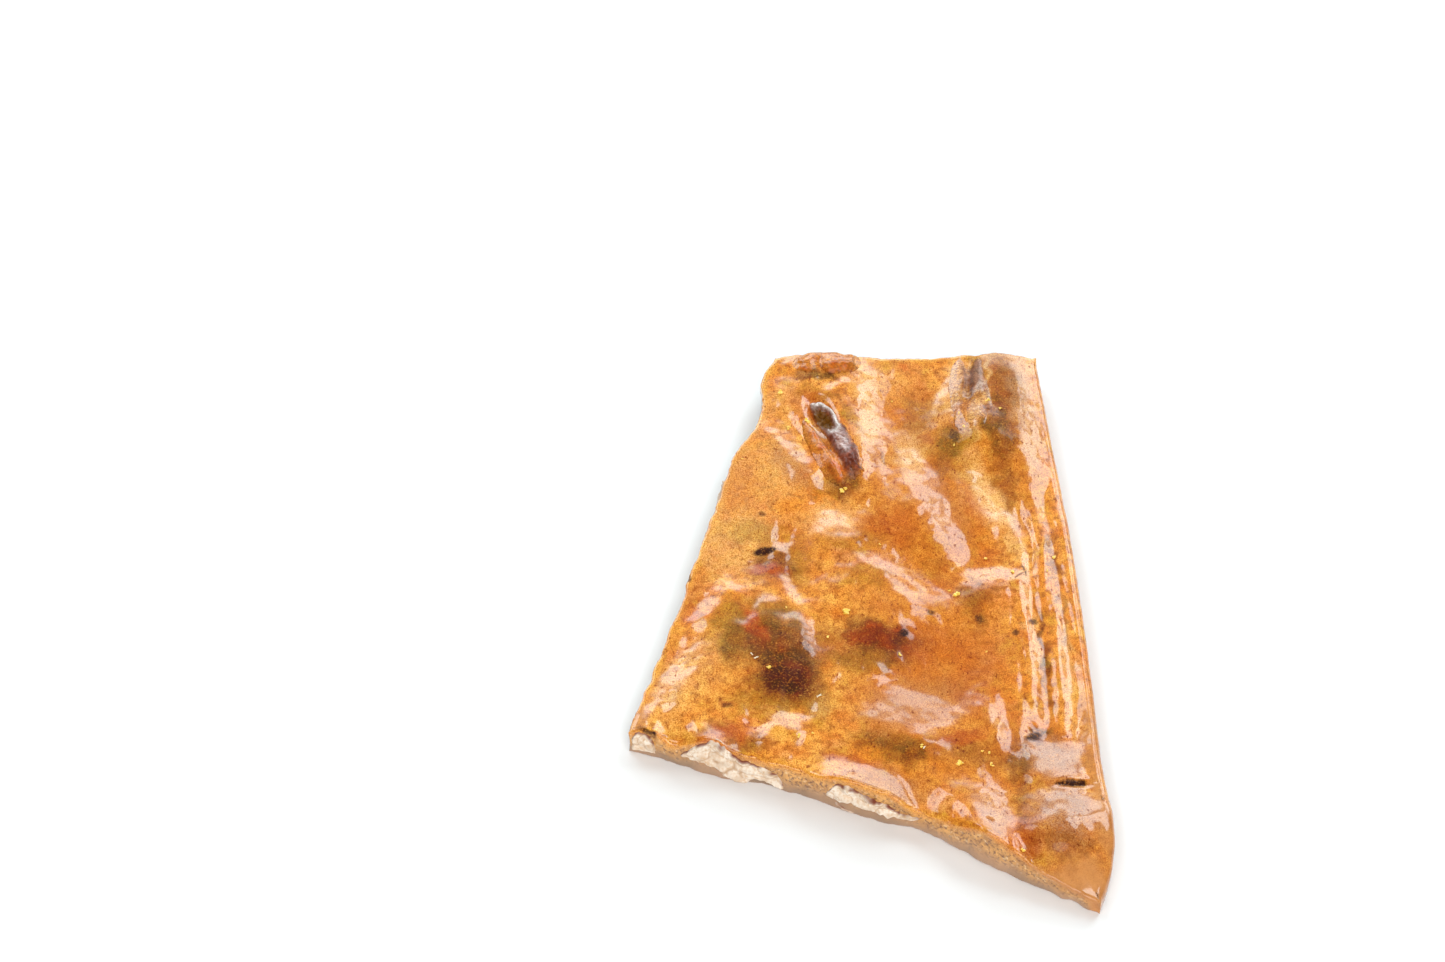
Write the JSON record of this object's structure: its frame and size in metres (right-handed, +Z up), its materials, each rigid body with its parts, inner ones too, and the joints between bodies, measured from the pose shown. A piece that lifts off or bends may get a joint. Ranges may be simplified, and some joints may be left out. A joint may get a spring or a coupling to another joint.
{
  "type": "pecan brittle",
  "caption": "Broken piece of amber pecan brittle, a tapering candy slab with a smooth side, broken edges and pecan pieces set in it.",
  "frame": {"origin": "on the table under the middle of the piece's bounding box", "axes": "+Z up from the flat underside to the uneven top, +Y along the long way of the piece to its square end, +X to its smooth side"},
  "size_m": [0.0772, 0.116, 0.0085],
  "materials": {
    "amber_candy": "glossy translucent boiled sugar and butter, golden orange with brown where pecans lie under it",
    "pecan_skin": "glazed reddish-brown pecan skin",
    "pecan_flesh": "matt cream-coloured broken pecan flesh with a thin brown skin"
  },
  "bodies": {
    "root": {"candy_slab": "amber_candy", "pecan_half_top": "pecan_skin", "pecan_half_rear": "pecan_skin", "pecan_rear_left": "pecan_skin", "pecan_rear_middle": "pecan_flesh", "pecan_front_left": "pecan_flesh", "pecan_front_middle": "pecan_flesh", "pecan_front_corner": "pecan_flesh", "pecan_left_middle": "pecan_flesh", "pecan_left_rear": "pecan_flesh"}
  },
  "joints": []
}
